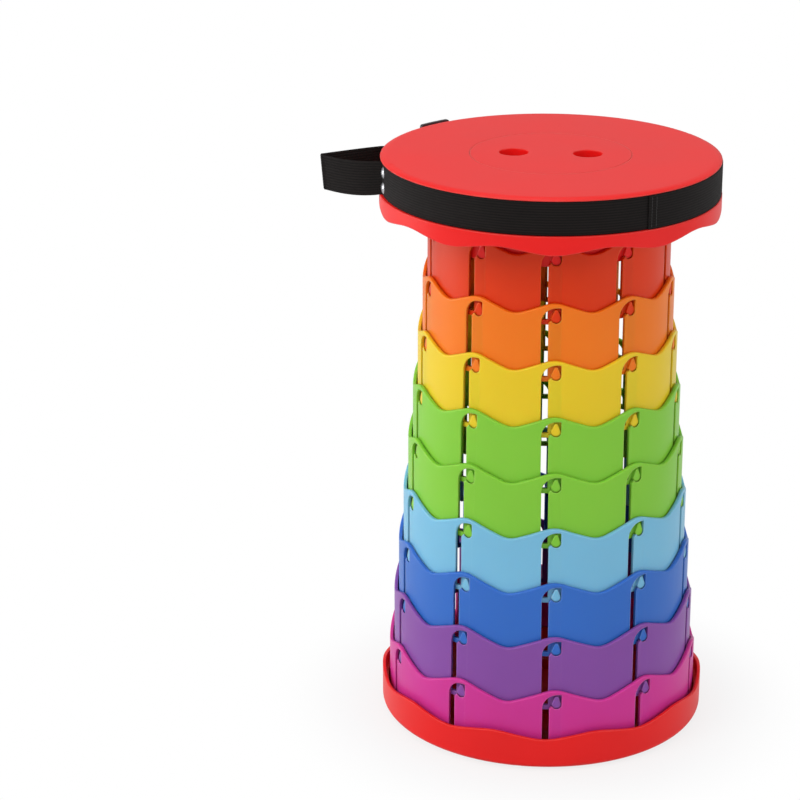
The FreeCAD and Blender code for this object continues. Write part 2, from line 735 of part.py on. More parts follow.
def loop_rivets():
    """Four domed rivets, two at each end of the carry loop, with shanks through the seat."""
    outer = f"({BAND_RADIUS} + strap_thickness + strap_gap / 2)"
    inner = f"({SIDE_INNER_RADIUS} - washer_thickness)"
    dome = "((rivet_head_radius^2 + rivet_head_height^2) / (2 * rivet_head_height))"
    pieces = []
    for side in (-1, 1):
        for sign in (-1, 1):
            name = f"rivet_{len(pieces) + 1}"
            body = doc.addObject("PartDesign::Body", name)
            section = outline(body, f"{name}_section", [
                (inner, "0"),
                (f"{outer} + rivet_head_height", "0", dome, 1),
                (outer, "rivet_head_radius"),
                (outer, "rivet_shank_radius"),
                (inner, "rivet_shank_radius"),
            ])
            turned = body.newObject("PartDesign::Revolution", f"{name}_turn")
            turned.Profile = section
            turned.ReferenceAxis = (origin_feature(body, "X_Axis"), [""])
            turned.Angle = 360
            level = f"{SEAT_LEVEL} + {STRAP_MIDDLE} + {sign} * rivet_spacing / 2"
            body.setExpression("Placement.Base.z", bound(level))
            body.setExpression("Placement.Rotation.Angle", bound(f"180 + {side} * rivet_half_span"))
            pieces.append(body)
    return group("loop_rivets", pieces)


def rivet_washers():
    """A washer under each rivet's inner end."""
    pieces = []
    inner = f"({SIDE_INNER_RADIUS} - washer_thickness)"
    for side in (-1, 1):
        for sign in (-1, 1):
            name = f"washer_{len(pieces) + 1}"
            body = doc.addObject("PartDesign::Body", name)
            section = box_outline(body, f"{name}_section", inner, f"{SIDE_INNER_RADIUS} - strap_gap / 2",
                                  "rivet_shank_radius + strap_gap / 4", "rivet_head_radius")
            turned = body.newObject("PartDesign::Revolution", f"{name}_turn")
            turned.Profile = section
            turned.ReferenceAxis = (origin_feature(body, "X_Axis"), [""])
            turned.Angle = 360
            level = f"{SEAT_LEVEL} + {STRAP_MIDDLE} + {sign} * rivet_spacing / 2"
            body.setExpression("Placement.Base.z", bound(level))
            body.setExpression("Placement.Rotation.Angle", bound(f"180 + {side} * rivet_half_span"))
            pieces.append(body)
    return group("rivet_washers", pieces)


def group(name, pieces):
    """Identical small pieces kept together as one node of separate solids."""
    node = doc.addObject("Part::Compound", name)
    node.Label = name
    node.Links = pieces
    doc.recompute()
    return node


def strap_slider():
    """The three-bar slider that the webbing's end is threaded through."""
    body = new_body("strap_slider", SEAT_LEVEL)
    low = f"({STRAP_MIDDLE} - slider_height / 2)"
    section = box_outline(body, "slider_section", SLIDER_RADIUS, f"{SLIDER_RADIUS} + slider_thickness", low,
                          f"{low} + slider_height", turn="(slider_turn - 90)")
    plate = revolve(body, "slider_plate", section, "2 * slider_half_span")
    doc.recompute()
    corners = [f"Edge{number}" for number, edge in enumerate(plate.Shape.Edges, 1)
               if abs(edge.Length - value("slider_thickness")) < 0.01]
    rounded = body.newObject("PartDesign::Fillet", "slider_corners")
    rounded.Base = (plate, corners)
    rounded.setExpression("Radius", bound("slider_corner"))
    doc.recompute()
    half = f"({SLIDER_RADIUS} * sin(slider_half_span))"
    window_low = f"({STRAP_MIDDLE} - strap_width / 2 - strap_gap)"
    window_high = f"({STRAP_MIDDLE} + strap_width / 2 + strap_gap)"
    for side, left, right in (
        (0, f"-{half} + slider_side_bar", f"-{half} + slider_side_bar + slider_window"),
        (1, f"{half} - slider_side_bar - slider_window", f"{half} - slider_side_bar"),
    ):
        window = box_outline(body, f"slider_window_line_{side}", left, right, window_low, window_high,
                             turn="(slider_turn)")
        cut_out(body, f"slider_window_{side}", window)
    return body


nodes = [ring(number) for number in range(1, RING_COUNT + 1)]
nodes += [base_shell(), foot_ring(), seat_top(), seat_collar(), seat_screws(), centre_disc()]
nodes += [strap_band(), strap_overlap(), carry_loop(), loop_rivets(), rivet_washers(), strap_slider()]
doc.recompute()

for item in doc.Objects:
    if "Invalid" in item.State or "Error" in item.State:
        raise ValueError(f"{item.Name} is not sound: {item.State}")
for node in nodes:
    if node.Shape.isNull() or not node.Shape.isValid():
        raise ValueError(f"{node.Label} has no valid shape")

os.makedirs("parts", exist_ok=True)
for node in nodes:
    node.Shape.exportStep(f"parts/{node.Label}.step")
    box = node.Shape.BoundBox
    print(f"{node.Label}: {len(node.Shape.Solids)} solids, {node.Shape.Volume / 1000:.1f} cm3, "
          f"z {box.ZMin:.1f} to {box.ZMax:.1f}")
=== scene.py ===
# %% [markdown]
# # A folding ring stool, dressed from its frame
#
# The stool is a stack of moulded rings between a red base and a red seat, with a black
# webbing strap round the seat. The frame brings every moulded piece at its real size, so
# this lesson gives them their plastic, steel and rubber, weaves the strap anew, adds its
# stitches, and then sets the floor, the light and the camera.

# %% Load the frame
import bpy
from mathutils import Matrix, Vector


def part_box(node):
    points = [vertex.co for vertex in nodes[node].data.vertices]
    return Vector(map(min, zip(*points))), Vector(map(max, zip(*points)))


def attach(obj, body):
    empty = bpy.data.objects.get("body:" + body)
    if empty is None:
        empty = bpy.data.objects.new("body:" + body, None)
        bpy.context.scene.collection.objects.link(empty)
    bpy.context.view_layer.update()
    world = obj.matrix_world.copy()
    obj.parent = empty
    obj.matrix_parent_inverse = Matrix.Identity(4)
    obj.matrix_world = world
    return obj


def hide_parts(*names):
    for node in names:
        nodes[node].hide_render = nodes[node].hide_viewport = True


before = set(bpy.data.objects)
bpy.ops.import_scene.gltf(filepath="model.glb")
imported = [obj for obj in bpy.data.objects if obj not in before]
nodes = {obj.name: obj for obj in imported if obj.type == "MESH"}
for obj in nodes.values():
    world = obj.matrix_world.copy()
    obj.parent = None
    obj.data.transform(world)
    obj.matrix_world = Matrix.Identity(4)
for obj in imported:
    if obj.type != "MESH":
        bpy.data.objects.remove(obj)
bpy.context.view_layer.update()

# %% Modules and units
import math

import bpy
from mathutils import Matrix, Vector

MM = 0.001


def linear(red, green, blue):
    """A colour as seen on a screen, 0 to 255, turned into the linear colour a shader takes."""
    channels = []
    for step in (red / 255, green / 255, blue / 255):
        channels.append(step / 12.92 if step < 0.04045 else ((step + 0.055) / 1.055) ** 2.4)
    return (*channels, 1)


# %% [markdown]
# ## Helpers for shader trees
#
# A material is a small graph: textures feed a shader. Writing each link by hand hides what
# the graph says, so a few helpers do the wiring. One adds a node and sets its plain values,
# one joins two sockets, and the others add the nodes that every material here needs: sums,
# ranges, noise, a tinted colour and a bump. What is the same all over a surface stays on the
# shader's own socket.

# %% Shader helpers
def add_node(tree, kind, **values):
    """A new node of the tree; the values set its properties, or else its inputs by name."""
    node = tree.nodes.new(kind)
    for name, value in values.items():
        if hasattr(node, name):
            setattr(node, name, value)
        else:
            node.inputs[name.replace("_", " ").title()].default_value = value
    return node


def join(tree, source, target):
    """Links an output socket to an input socket."""
    tree.links.new(source, target)


def math_node(tree, operation, first, second=None):
    """A math node; each operand is a socket or a number. Gives its output socket."""
    node = add_node(tree, "ShaderNodeMath", operation=operation)
    for slot, operand in enumerate((first, second)):
        if isinstance(operand, (int, float)):
            node.inputs[slot].default_value = operand
        elif operand is not None:
            join(tree, operand, node.inputs[slot])
    return node.outputs[0]


def remap(tree, source, low, high, start=0.0, end=1.0):
    """Maps a socket that runs from start to end onto low to high. Gives the output socket."""
    node = add_node(tree, "ShaderNodeMapRange")
    node.inputs["From Min"].default_value = start
    node.inputs["From Max"].default_value = end
    node.inputs["To Min"].default_value = low
    node.inputs["To Max"].default_value = high
    join(tree, source, node.inputs["Value"])
    return node.outputs["Result"]


def object_noise(tree, scale, detail):
    """A noise over the piece's own coordinates. Gives its factor socket."""
    place = add_node(tree, "ShaderNodeTexCoord")
    node = add_node(tree, "ShaderNodeTexNoise", scale=scale, detail=detail)
    join(tree, place.outputs["Object"], node.inputs["Vector"])
    return node.outputs["Fac"]


def tinted(tree, colour, factor):
    """A colour, given as numbers or as a socket, times a factor socket. Gives the output socket."""
    node = add_node(tree, "ShaderNodeVectorMath", operation="SCALE")
    if isinstance(colour, tuple):
        node.inputs[0].default_value = colour[:3]
    else:
        join(tree, colour, node.inputs[0])
    join(tree, factor, node.inputs["Scale"])
    return node.outputs["Vector"]


def bump_from(tree, height, strength, distance):
    """A bump node on a height socket."""
    node = add_node(tree, "ShaderNodeBump")
    node.inputs["Strength"].default_value = strength
    node.inputs["Distance"].default_value = distance
    join(tree, height, node.inputs["Height"])
    return node


def new_material(name):
    """An empty material with a Principled shader; gives the material, its tree and the shader."""
    material = bpy.data.materials.new(name)
    material.use_nodes = True
    tree = material.node_tree
    return material, tree, tree.nodes["Principled BSDF"]


def dress(piece, material):
    """Puts the material in the piece's only slot."""
    piece.data.materials.clear()
    piece.data.materials.append(material)


# %% [markdown]
# ## The moulded plastic
#
# The rings, the base and the seat are polypropylene: smooth from the mould, a little waxy,
# and slightly see-through. A soft scatter of light under the surface makes it waxy. The
# thin edges also get a painted glow, a lighter colour that stands in for light coming
# through the plastic. An edge mask finds them: the Bevel node gives the direction a rounded
# corner would have, and where that differs from the true surface there is an edge near by.
# Two noises finish it: a broad one shifts the tone of the pigment, and a fine one gives the
# mould's faint texture.

# %% Plastic material
EDGE_REACH = 1.5 * MM
# How far the painted edge glow lightens the colour at the edges.
EDGE_PAINTED_GLOW = 0.8
ALIKE, APART = 0.995, 0.75
PIGMENT_PER_METRE = 14
PIGMENT_SHIFT = 0.06
GRAIN_PER_METRE = 900
GRAIN_DEPTH = 0.2 * MM
GLOSS = 0.38
GLOSS_SHIFT = 0.03
SCATTER_DEPTH = 3.5 * MM


def plastic(name, colour, painted_glow_colour):
    """Waxy moulded plastic whose edges get a painted glow, lighter than its walls."""
    material, tree, shader = new_material(name)
    pigment = object_noise(tree, PIGMENT_PER_METRE, 2.0)
    shade = remap(tree, pigment, 1 - PIGMENT_SHIFT, 1 + PIGMENT_SHIFT)

    corner = add_node(tree, "ShaderNodeBevel", samples=6, radius=EDGE_REACH)
    surface = add_node(tree, "ShaderNodeNewGeometry")
    match = add_node(tree, "ShaderNodeVectorMath", operation="DOT_PRODUCT")
    join(tree, corner.outputs["Normal"], match.inputs[0])
    join(tree, surface.outputs["Normal"], match.inputs[1])
    # Painted glow: near an edge the colour turns towards the lighter glow colour, for light coming
    # through thin plastic.
    painted_glow = remap(tree, match.outputs["Value"], 0.0, EDGE_PAINTED_GLOW, start=ALIKE, end=APART)

    blend = add_node(tree, "ShaderNodeMix", data_type="RGBA")
    blend.inputs[6].default_value = linear(*colour)
    blend.inputs[7].default_value = linear(*painted_glow_colour)
    join(tree, painted_glow, blend.inputs["Factor"])
    join(tree, tinted(tree, blend.outputs[2], shade), shader.inputs["Base Color"])

    gloss = remap(tree, pigment, GLOSS - GLOSS_SHIFT, GLOSS + GLOSS_SHIFT)
    join(tree, gloss, shader.inputs["Roughness"])
    bump = bump_from(tree, object_noise(tree, GRAIN_PER_METRE, 1.0), 0.04, GRAIN_DEPTH)
    join(tree, corner.outputs["Normal"], bump.inputs["Normal"])
    join(tree, bump.outputs["Normal"], shader.inputs["Normal"])

    shader.inputs["Specular IOR Level"].default_value = 0.25
    shader.inputs["Subsurface Weight"].default_value = 0.4
    shader.inputs["Subsurface Radius"].default_value = (1.0, 0.6, 0.5)
    shader.inputs["Subsurface Scale"].default_value = SCATTER_DEPTH
    return material


# %% Ring colours and the painted glow of their edges, from the top ring to the one fixed in the base
# Each pair is the ring's own colour and the lighter painted glow on its edges.
RING_COLOURS = {
    1: ((223, 57, 0), (250, 104, 38)),
    2: ((244, 124, 22), (255, 162, 58)),
    3: ((234, 202, 36), (255, 212, 66)),
    4: ((134, 202, 60), (165, 220, 92)),
    5: ((134, 202, 60), (165, 220, 92)),
    6: ((124, 190, 222), (162, 210, 235)),
    7: ((52, 110, 198), (112, 152, 226)),
    8: ((136, 78, 164), (178, 118, 196)),
    9: ((208, 52, 150), (236, 110, 190)),
}
for number, (colour, painted_glow_colour) in RING_COLOURS.items():
    dress(nodes[f"ring_{number}"], plastic(f"ring_{number}_plastic", colour, painted_glow_colour))
print("ring plastics:", len(RING_COLOURS))

# %% Red plastic of the base, the seat and its centre disc
RED = (235, 26, 24)
# The second red is the painted glow on the edges, lighter than the red walls.
RED_PAINTED_GLOW = (250, 84, 76)
red_plastic = plastic("red_plastic", RED, RED_PAINTED_GLOW)
for name in ("base_shell", "seat_top", "seat_collar", "centre_disc"):
    dress(nodes[name], red_plastic)

# %% [markdown]
# ## Steel, rubber and the slider
#
# The rivets are plain steel with a brushed bloom, the screws under the seat are the same
# steel a little darker, and the foot ring is soft black rubber with a dusty, uneven sheen.
# The slider is hard dark grey plastic. A fine noise in the roughness is what keeps small
# metal parts from looking like drops of mercury.

# %% Steel, rubber and slider materials
def small_part(name, colour, metallic, roughness, grain_scale, bump_strength):
    """A finish for small hardware: one colour, uneven gloss and a fine bump."""
    material, tree, shader = new_material(name)
    grain = object_noise(tree, grain_scale, 3.0)
    tone = remap(tree, grain, 0.85, 1.1)
    join(tree, tinted(tree, linear(*colour), tone), shader.inputs["Base Color"])
    gloss = remap(tree, grain, roughness - 0.08, roughness + 0.08)
    join(tree, gloss, shader.inputs["Roughness"])
    bump = bump_from(tree, grain, bump_strength, 0.1 * MM)
    join(tree, bump.outputs["Normal"], shader.inputs["Normal"])
    shader.inputs["Metallic"].default_value = metallic
    return material


rivet_steel = small_part("rivet_steel", (176, 176, 179), 1.0, 0.34, 700, 0.15)
screw_steel = small_part("screw_steel", (150, 150, 154), 1.0, 0.35, 900, 0.2)
foot_rubber = small_part("foot_rubber", (34, 34, 35), 0.0, 0.75, 1200, 0.4)
slider_plastic = small_part("slider_plastic", (52, 53, 56), 0.0, 0.4, 1100, 0.25)
for name in ("loop_rivets", "rivet_washers"):
    dress(nodes[name], rivet_steel)
dress(nodes["seat_screws"], screw_steel)
dress(nodes["foot_ring"], foot_rubber)
dress(nodes["strap_slider"], slider_plastic)

# %% [markdown]
# ## The webbing
#
# The strap is woven nylon webbing: fine ribs run along it, the weft crosses them in tiny
# steps, and both long edges are rounded by the selvedge. A length of webbing follows a
# path, so it is a job for Geometry Nodes: a flat ribbed section is swept along a curve.
# The ribs are real relief. The weft is far finer, so a wave in the bump map draws it, and
# it reads the length along the strap, which the tree stores on the mesh.

# %% Webbing material
WEFT_PITCH = 0.9 * MM
WEFT_DEPTH = 0.1 * MM


def webbing_material():
    """Black nylon: uneven wear, painted shade in the rib valleys with the ridges lighter, and a weft
    that follows the strap.
    """
    material, tree, shader = new_material("black_webbing")
    along = add_node(tree, "ShaderNodeAttribute", attribute_name="along").outputs["Fac"]
    across = add_node(tree, "ShaderNodeAttribute", attribute_name="rib").outputs["Fac"]
    turns = math_node(tree, "MULTIPLY", along, 2 * math.pi / WEFT_PITCH)
    weft = math_node(tree, "SINE", math_node(tree, "ADD", turns, across))
    bump = bump_from(tree, weft, 0.5, WEFT_DEPTH)
    join(tree, bump.outputs["Normal"], shader.inputs["Normal"])

    wear = remap(tree, object_noise(tree, 60.0, 4.0), 0.75, 1.3)
    # Painted shade: the rib valleys are darker and the ridges lighter, standing in for the light on
    # the ribs.
    painted_rib_shade = remap(tree, math_node(tree, "COSINE", across), 0.45, 1.45, start=1.0, end=-1.0)
    # The tone is the random wear times the painted rib shade.
    tone = math_node(tree, "MULTIPLY", wear, painted_rib_shade)
    join(tree, tinted(tree, linear(22, 18, 17), tone), shader.inputs["Base Color"])
    shader.inputs["Roughness"].default_value = 0.7
    shader.inputs["Specular IOR Level"].default_value = 0.12
    shader.inputs["Sheen Weight"].default_value = 0.03
    shader.inputs["Sheen Roughness"].default_value = 0.5
    return material


black_webbing = webbing_material()

# %% [markdown]
# ## Helpers for Geometry Nodes
#
# A tree's inputs are made with their names, and a modifier sets them by the socket's
# identifier before the object is first evaluated. The result is then turned into a plain
# mesh, so nothing live is left on the piece.

# %% Geometry Nodes helpers
def new_tree(name, inputs):
    """A geometry tree with a geometry socket at each end and the named inputs."""
    tree = bpy.data.node_groups.new(name, "GeometryNodeTree")
    tree.interface.new_socket("Geometry", in_out="INPUT", socket_type="NodeSocketGeometry")
    for label, kind in inputs.items():
        tree.interface.new_socket(label, in_out="INPUT", socket_type="NodeSocket" + kind)
    tree.interface.new_socket("Geometry", in_out="OUTPUT", socket_type="NodeSocketGeometry")
    return tree, tree.nodes.new("NodeGroupInput"), tree.nodes.new("NodeGroupOutput")


def grow(name, base, tree, **values):
    """Runs the tree on the base object with these inputs, and gives the result as a plain mesh."""
    modifier = base.modifiers.new("tree", "NODES")
    modifier.node_group = tree
    for label, value in values.items():
        item = next(item for item in tree.interface.items_tree if item.name == label.replace("_", " "))
        modifier[item.identifier] = value
    bpy.context.view_layer.update()
    graph = bpy.context.evaluated_depsgraph_get()
    mesh = bpy.data.meshes.new_from_object(base.evaluated_get(graph), depsgraph=graph)
    mesh.name = name
    bpy.data.objects.remove(base)
    piece = bpy.data.objects.new(name, mesh)
    bpy.context.scene.collection.objects.link(piece)
    print(f"{name}: {len(mesh.polygons)} faces")
    return piece


def path_object(name, *runs):
    """Poly lines, one through the points of each run, as an open mesh of edges."""
    mesh = bpy.data.meshes.new(name)
    points, edges = [], []
    for run in runs:
        first = len(points)
        points += run
        edges += [(index, index + 1) for index in range(first, len(points) - 1)]
    mesh.from_pydata(points, edges, [])
    line = bpy.data.objects.new(name, mesh)
    bpy.context.scene.collection.objects.link(line)
    return line


def sweep_along(tree, given, result, curve, section):
    """Sweeps the section along the curve, gives the mesh its material and hands it out."""
    sweep = add_node(tree, "GeometryNodeCurveToMesh")
    sweep.inputs["Fill Caps"].default_value = True
    join(tree, curve, sweep.inputs["Curve"])
    join(tree, section, sweep.inputs["Profile Curve"])
    real = add_node(tree, "GeometryNodeRealizeInstances")
    join(tree, sweep.outputs["Mesh"], real.inputs["Geometry"])
    coat = add_node(tree, "GeometryNodeSetMaterial")
    join(tree, real.outputs["Geometry"], coat.inputs["Geometry"])
    join(tree, given.outputs["Material"], coat.inputs["Material"])
    join(tree, coat.outputs["Geometry"], result.inputs["Geometry"])


# %% [markdown]
# ## The webbing's tree
#
# A circle's points are moved into a flat section: the first half of them walks along one
# face and the second half back along the other. A cosine across the width cuts the ribs, and
# a high power of the distance from the middle rounds both edges off.

# %% Webbing tree
SECTION_STEPS = 96
EDGE_SHARPNESS = 24
LEAST_HEIGHT = 0.05 * MM


def webbing_tree():
    """Sweeps a flat section with ribs and round edges along the path it is given."""
    tree, given, result = new_tree("webbing", {
        "Width": "Float", "Thickness": "Float", "Ribs": "Float", "Rib Depth": "Float",
        "Material": "Material",
    })
    path = add_node(tree, "GeometryNodeMeshToCurve")
    join(tree, given.outputs["Geometry"], path.inputs["Mesh"])
    upright = add_node(tree, "GeometryNodeSetCurveNormal", mode="Z_UP")
    join(tree, path.outputs["Curve"], upright.inputs["Curve"])
    length = add_node(tree, "GeometryNodeSplineParameter")
    marked = add_node(tree, "GeometryNodeStoreNamedAttribute", data_type="FLOAT", domain="POINT")
    marked.inputs["Name"].default_value = "along"
    join(tree, upright.outputs["Curve"], marked.inputs["Geometry"])
    join(tree, length.outputs["Length"], marked.inputs["Value"])

    ring = add_node(tree, "GeometryNodeCurvePrimitiveCircle")
    ring.inputs["Resolution"].default_value = 2 * SECTION_STEPS
    index = add_node(tree, "GeometryNodeInputIndex").outputs[0]
    count = math_node(tree, "DIVIDE", index, SECTION_STEPS)
    side = math_node(tree, "FLOOR", count)
    run = math_node(tree, "FRACT", count)
    walk = math_node(tree, "SUBTRACT", run, 0.5)
    facing = math_node(tree, "SUBTRACT", 1.0, math_node(tree, "MULTIPLY", side, 2.0))
    offset = math_node(tree, "MULTIPLY", walk, given.outputs["Width"])
    across = math_node(tree, "MULTIPLY", offset, facing)
    ribs = math_node(tree, "MULTIPLY", run, given.outputs["Ribs"])
    phase = math_node(tree, "MULTIPLY", ribs, 2 * math.pi)
    wave = math_node(tree, "ADD", math_node(tree, "COSINE", phase), 1.0)
    valley = math_node(tree, "MULTIPLY", wave, 0.5)
    relief = math_node(tree, "MULTIPLY", valley, given.outputs["Rib Depth"])
    from_middle = math_node(tree, "ABSOLUTE", math_node(tree, "MULTIPLY", walk, 2.0))
    near_edge = math_node(tree, "POWER", from_middle, EDGE_SHARPNESS)
    half = math_node(tree, "MULTIPLY", given.outputs["Thickness"], 0.5)
    body = math_node(tree, "MULTIPLY", math_node(tree, "SUBTRACT", 1.0, near_edge), half)
    height = math_node(tree, "MAXIMUM", math_node(tree, "SUBTRACT", body, relief), LEAST_HEIGHT)
    out = math_node(tree, "MULTIPLY", height, facing)
    spot = add_node(tree, "ShaderNodeCombineXYZ")
    join(tree, out, spot.inputs["X"])
    join(tree, across, spot.inputs["Y"])
    section = add_node(tree, "GeometryNodeSetPosition")
    join(tree, ring.outputs["Curve"], section.inputs["Geometry"])
    join(tree, spot.outputs["Vector"], section.inputs["Position"])
    ribbed = add_node(tree, "GeometryNodeStoreNamedAttribute", data_type="FLOAT", domain="POINT")
    ribbed.inputs["Name"].default_value = "rib"
    join(tree, section.outputs["Geometry"], ribbed.inputs["Geometry"])
    join(tree, phase, ribbed.inputs["Value"])

    sweep_along(tree, given, result, marked.outputs["Geometry"], ribbed.outputs["Geometry"])
    return tree


webbing = webbing_tree()

# %% Webbing sizes, from the frame
band_low, band_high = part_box("strap_band")
STRAP_WIDTH = band_high.z - band_low.z
STRAP_MIDDLE = (band_high.z + band_low.z) / 2
STRAP_THICKNESS = 0.9 * MM
BAND_RADIUS = band_high.x - STRAP_THICKNESS / 2
OVERLAP_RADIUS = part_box("strap_overlap")[1].x - STRAP_THICKNESS / 2
loop_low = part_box("carry_loop")[0]
print("webbing width", round(STRAP_WIDTH, 5), "band radius", round(BAND_RADIUS, 5),
      "overlap radius", round(OVERLAP_RADIUS, 5), "loop reach", round(loop_low.x, 5))


def on_circle(radius, angle, level=STRAP_MIDDLE):
    """A point round the stool's axis; the angle runs from the front towards +X, in degrees."""
    turn = math.radians(angle)
    return Vector((radius * math.sin(turn), -radius * math.cos(turn), level))


RIBS = 13.0
RIB_DEPTH = 0.12 * MM


def lay_webbing(name, points):
    """A length of webbing along the points."""
    return grow(name, path_object(f"{name}_path", points), webbing, Width=STRAP_WIDTH,
                Thickness=STRAP_THICKNESS, Ribs=RIBS, Rib_Depth=RIB_DEPTH, Material=black_webbing)


# %% [markdown]
# ## Three lengths of webbing
#
# The inner layer goes right round the seat from one end of the carry loop to the other.
# The outer layer starts at its sewn end at the front right and runs back to the slider.
# The carry loop leaves the seat at the left and folds back on itself. Each one is laid on
# the arc or line that its solid has, and then replaces that solid. The loop hangs free, so
# it bows, its fold drops a little and leans outwards, and it flares towards the fold.

# %% Lay the band and the overlap
ARC_STEP = 1.5
RIVET_ANGLE = 13.6
STRAP_TAIL = 2.4
SEWN_END = 33.3
SLIDER_END = 222


def arc_points(radius, start, end):
    """Points every degree and a half, or nearly so, along an arc."""
    count = round(abs(end - start) / ARC_STEP)
    return [on_circle(radius, start + (end - start) * step / count) for step in range(count + 1)]


band_start = -90 + RIVET_ANGLE - STRAP_TAIL
band = lay_webbing("webbing_band", arc_points(BAND_RADIUS, band_start, 180 - band_start))
overlap = lay_webbing("webbing_overlap", arc_points(OVERLAP_RADIUS, SEWN_END, SLIDER_END))

# %% Lay the carry loop
NEAR_BOW = 3.2 * MM
FAR_BOW = 0.4 * MM
FOLD_RADIUS = 1.7 * MM
LEG_STEPS = 24
FOLD_STEPS = 8
ROOT_INSET = 0.3
FOLD_DROP = 1.8 * MM
FOLD_STRETCH = 1.2 * MM
FOLD_LEAN = 0.09
LOOP_FLARE = 0.08
FLARE_EASE = 0.4
NEAR_SAG = 1.2 * MM


def leg_points(root, fold, bow):
    """One leg of the loop, from its root to just before the fold, bowed a little outwards."""
    points = []
    for step in range(LEG_STEPS):
        spot = root.lerp(fold, step / LEG_STEPS)
        spot.y -= math.sin(math.pi * step / LEG_STEPS) * bow
        points.append(spot)
    return points


def loop_points():
    """One leg from its root to the fold, the tight fold, and the other leg back."""
    root = on_circle(BAND_RADIUS, band_start - ROOT_INSET)
    fold_x = loop_low.x + STRAP_THICKNESS / 2 + FOLD_RADIUS
    fold = Vector((fold_x, -FOLD_RADIUS, STRAP_MIDDLE))
    bend = []
    for step in range(FOLD_STEPS + 1):
        turn = math.radians(180 * step / FOLD_STEPS)
        across, out = FOLD_RADIUS * math.cos(turn), FOLD_RADIUS * math.sin(turn)
        bend.append(Vector((fold_x - out, -across, STRAP_MIDDLE)))
    near = leg_points(root, fold, NEAR_BOW)
    far = [Vector((spot.x, -spot.y, spot.z)) for spot in leg_points(root, fold, FAR_BOW)]
    return near + bend + far[::-1]


def let_sag(piece, root_x, fold_x):
    """Lets the loop hang: it drops and flares towards the fold, which leans out at its top."""
    for vertex in piece.data.vertices:
        share = max(0, (root_x - vertex.co.x) / (root_x - fold_x))
        height = vertex.co.z - STRAP_MIDDLE
        belly = 4 * share * (1 - share) if vertex.co.y < 0 else 0
        flare = height * LOOP_FLARE * min(1, share) ** FLARE_EASE
        vertex.co.x -= share * (FOLD_STRETCH + FOLD_LEAN * height)
        vertex.co.z += flare - FOLD_DROP * share - NEAR_SAG * belly


loop = lay_webbing("webbing_loop", loop_points())
let_sag(loop, -BAND_RADIUS, loop_low.x)
for piece, node in ((band, "strap_band"), (overlap, "strap_overlap"), (loop, "carry_loop")):
    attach(piece, "seat")
    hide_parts(node)

# %% [markdown]
# ## The slider's turn and the stitches
#
# At the slider the strap comes up through one window, runs over the middle bar and goes
# down through the other, so a short length of webbing rides with the slider. The outer
# layer's end is sewn down with two rows of stitches. Each stitch is a short arch of thread,
# and one small tree sweeps a round section along all of them. The stitches hold the strap
# on the seat, so they ride with it.

# %% Webbing over the slider's middle bar
SLIDER_ANGLE = 225
SLIDER_PLAY = 0.4 * MM
SLIDER_THICKNESS = 2.2 * MM
SLIDER_OUTER = OVERLAP_RADIUS + STRAP_THICKNESS / 2 + SLIDER_PLAY + SLIDER_THICKNESS
BAR_CLEARANCE = 0.6 * MM
LAYER_CLEARANCE = 0.1 * MM
WINDOW_TURN = 3.9
HUMP_STEPS = 24


def slider_points():
    """From one window over the middle bar to the other, as a smooth hump."""
    inner = OVERLAP_RADIUS + STRAP_THICKNESS + LAYER_CLEARANCE
    outer = SLIDER_OUTER + STRAP_THICKNESS / 2 + BAR_CLEARANCE
    points = []
    for step in range(HUMP_STEPS + 1):
        turn = -1 + 2 * step / HUMP_STEPS
        rise = (1 - abs(turn) ** 3) ** 0.9
        points.append(on_circle(inner + (outer - inner) * rise, SLIDER_ANGLE + WINDOW_TURN * turn))
    return points


hump = lay_webbing("webbing_on_slider", slider_points())
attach(hump, "slider")


# %% Thread tree
def thread_tree():
    """Sweeps a round section along every line it is given."""
    tree, given, result = new_tree("thread", {"Radius": "Float", "Material": "Material"})
    path = add_node(tree, "GeometryNodeMeshToCurve")
    join(tree, given.outputs["Geometry"], path.inputs["Mesh"])
    section = add_node(tree, "GeometryNodeCurvePrimitiveCircle")
    section.inputs["Resolution"].default_value = 10
    join(tree, given.outputs["Radius"], section.inputs["Radius"])
    sweep_along(tree, given, result, path.outputs["Curve"], section.outputs["Curve"])
    return tree


# %% Stitches at the sewn end of the outer layer
STITCH_LENGTH = 1.9 * MM
STITCH_GAP = 0.5 * MM
STITCH_RISE = 0.3 * MM
STITCH_DEPTH = 0.2 * MM
STITCH_STEPS = 6
STITCH_REACH = 11 * MM
ROW_ANGLES = (34.4, 36.2)
THREAD_RADIUS = 0.28 * MM
thread = small_part("sewing_thread", (38, 36, 36), 0.0, 0.6, 1500, 0.3)


def stitch_row(angle):
    """Stitches one above the other across the strap, each a short arch that stands on it."""
    foot = OVERLAP_RADIUS + STRAP_THICKNESS / 2 - STITCH_DEPTH
    pitch = STITCH_LENGTH + STITCH_GAP
    count = int(2 * STITCH_REACH / pitch)
    arches = []
    for index in range(count):
        middle = STRAP_MIDDLE + (index - (count - 1) / 2) * pitch
        arch = []
        for step in range(STITCH_STEPS + 1):
            turn = -1 + 2 * step / STITCH_STEPS
            rise = STITCH_RISE * (1 - turn * turn)
            arch.append(on_circle(foot + rise, angle, middle + turn * STITCH_LENGTH / 2))
        arches.append(arch)
    return arches


arches = [arch for angle in ROW_ANGLES for arch in stitch_row(angle)]
stitch_path = path_object("stitch_path", *arches)
stitches = grow("stitches", stitch_path, thread_tree(), Radius=THREAD_RADIUS, Material=thread)
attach(stitches, "seat")
print("stitches:", len(arches))

# %% [markdown]
# ## Floor, light and camera
#
# The photograph is a plain studio picture on white. Through the Light Path node the floor
# and the world show white to the camera and half as bright to reflections, and the floor
# keeps its soft shadow near the stool. The lamps stay at a plain level, so that the colours
# render about as they are written. The key light is large and comes from the upper left,
# which gives the soft fall of light across the rings.

